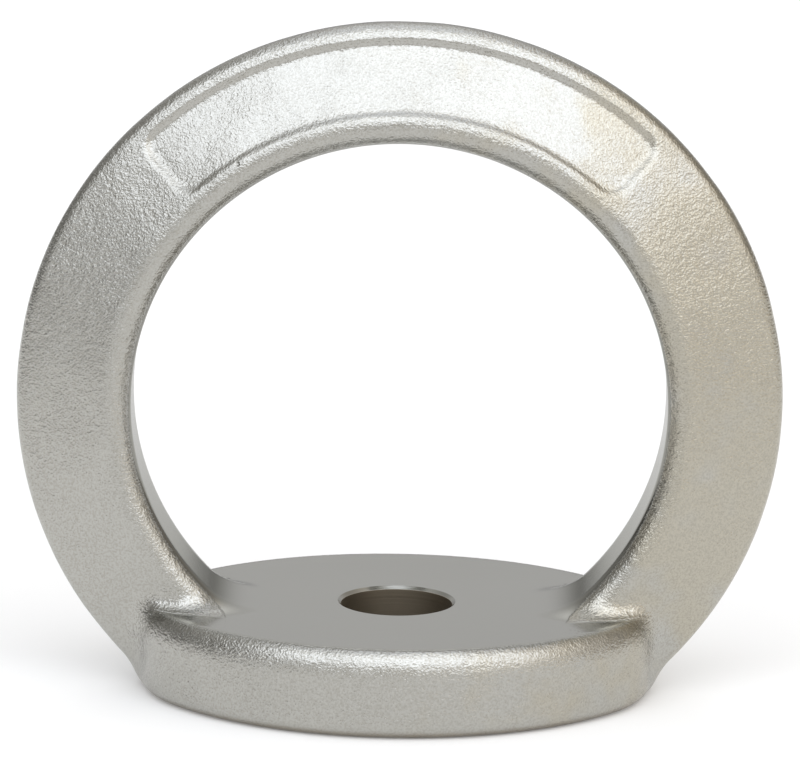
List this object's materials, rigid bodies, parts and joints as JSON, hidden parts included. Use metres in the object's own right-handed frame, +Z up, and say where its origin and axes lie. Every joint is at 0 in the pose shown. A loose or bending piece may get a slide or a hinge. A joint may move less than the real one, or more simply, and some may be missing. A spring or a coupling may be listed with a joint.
{
  "type": "tie ring",
  "caption": "Forged eye ring on an oval foot with one vertical bolt hole, for bolting down as a lashing or mooring point.",
  "frame": {"origin": "centre of the foot's underside, on the bolt hole's axis", "axes": "+Z up along the bolt hole, from the underside to the ring; the ring's own axis lies along Y; the face with the blank sunken panel looks towards -Y; +X along the foot's long axis"},
  "size_m": [0.096, 0.0508, 0.0856],
  "materials": {
    "plated_steel": "bright zinc plate over a fine pebbled forged skin"
  },
  "bodies": {
    "root": {"tie_ring": "plated_steel"}
  },
  "joints": []
}
